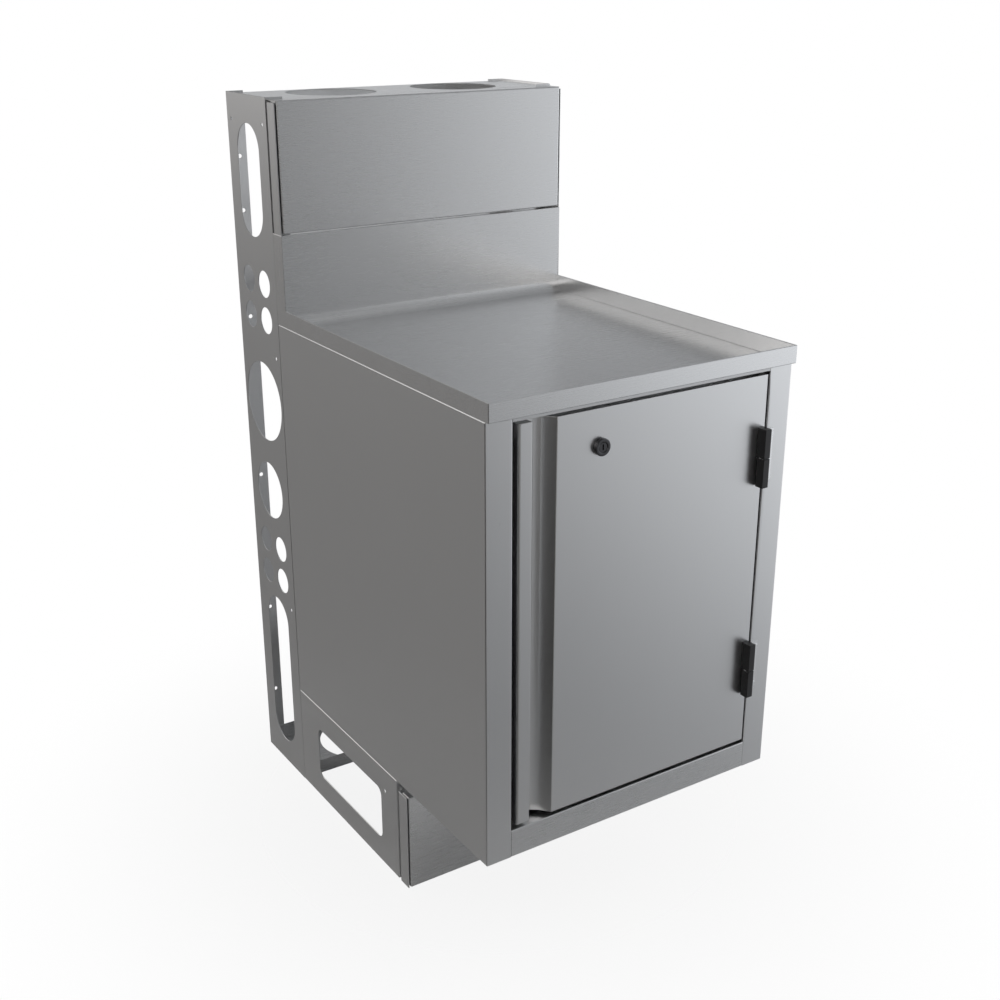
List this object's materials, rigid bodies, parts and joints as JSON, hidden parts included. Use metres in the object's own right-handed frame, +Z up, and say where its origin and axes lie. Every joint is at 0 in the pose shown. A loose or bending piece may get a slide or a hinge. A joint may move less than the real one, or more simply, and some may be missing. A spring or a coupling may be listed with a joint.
{
  "type": "underbar cabinet",
  "caption": "Narrow stainless underbar unit: locking hinged-door cabinet on a recessed base, raised-edge worktop with coved backsplash, and an open-backed service chase behind.",
  "frame": {"origin": "centre of the bounding box on the floor", "axes": "+X to the right as seen from the door side, +Y from the door towards the chase's open back, +Z up"},
  "size_m": [0.4572, 0.6812, 1.0378],
  "materials": {
    "sheet_steel": "fine satin stainless sheet",
    "inner_steel": "dull mill-finish stainless sheet",
    "bright_steel": "bright plated steel",
    "black_metal": "satin black",
    "black_plastic": "matte black",
    "bumper_rubber": "soft black"
  },
  "bodies": {
    "cabinet": {"chase_side_left": "sheet_steel", "chase_side_right": "sheet_steel", "chase_top": "sheet_steel", "chase_bottom": "sheet_steel", "cover_jamb_left": "sheet_steel", "cover_jamb_right": "sheet_steel", "worktop": "sheet_steel", "worktop_channel": "inner_steel", "cabinet_side_left": "sheet_steel", "cabinet_side_right": "sheet_steel", "cabinet_floor": "sheet_steel", "cabinet_back": "inner_steel", "header_rail": "inner_steel", "shelf": "inner_steel", "pilaster_front_left": "bright_steel", "pilaster_rear_left": "bright_steel", "pilaster_front_right": "bright_steel", "pilaster_rear_right": "bright_steel", "shelf_clips": "bright_steel", "base_side_left": "sheet_steel", "base_side_right": "sheet_steel", "base_rail_front": "inner_steel", "base_rail_rear": "inner_steel", "kick_jamb_left": "sheet_steel", "kick_jamb_right": "sheet_steel", "magnet_catch": "black_plastic", "door_bumpers": "bumper_rubber", "upper_hinge_plate": "bright_steel", "upper_hinge_frame_knuckle": "black_metal", "upper_hinge_pin": "bright_steel", "upper_hinge_washer": "bright_steel", "lower_hinge_plate": "bright_steel", "lower_hinge_frame_knuckle": "black_metal", "lower_hinge_pin": "bright_steel", "lower_hinge_washer": "bright_steel", "hinge_plate_screws": "bright_steel", "lock_strike": "bright_steel", "chase_bolts": "bright_steel"},
    "door": {"door_panel": "sheet_steel", "door_liner": "inner_steel", "door_stiffener": "inner_steel", "catch_strike": "bright_steel", "upper_hinge_door_knuckle": "black_metal", "lower_hinge_door_knuckle": "black_metal", "knuckle_screws": "bright_steel", "lock_body": "black_metal", "lock_nut": "bright_steel"},
    "lock": {"lock_plug": "black_metal", "lock_cam": "bright_steel", "lock_cam_screw": "bright_steel"},
    "cover": {"access_cover": "sheet_steel"},
    "kick": {"kick_plate": "sheet_steel"}
  },
  "joints": [
    {"name": "door_hinge", "type": "hinge", "parent": "cabinet", "child": "door", "pos_m": [0.18255, -0.33345, 0.464], "axis": [0, 0, 1], "range_deg": [0, 110]},
    {"name": "lock_turn", "type": "hinge", "parent": "door", "child": "lock", "pos_m": [-0.07, -0.32565, 0.678], "axis": [0, 1, 0], "range_deg": [0, 90]},
    {"name": "cover_lift", "type": "slide", "parent": "cabinet", "child": "cover", "axis": [0, 0, 1], "range_m": [0, 0.016]},
    {"name": "kick_lift", "type": "slide", "parent": "cabinet", "child": "kick", "axis": [0, 0, 1], "range_m": [0, 0.01]}
  ]
}
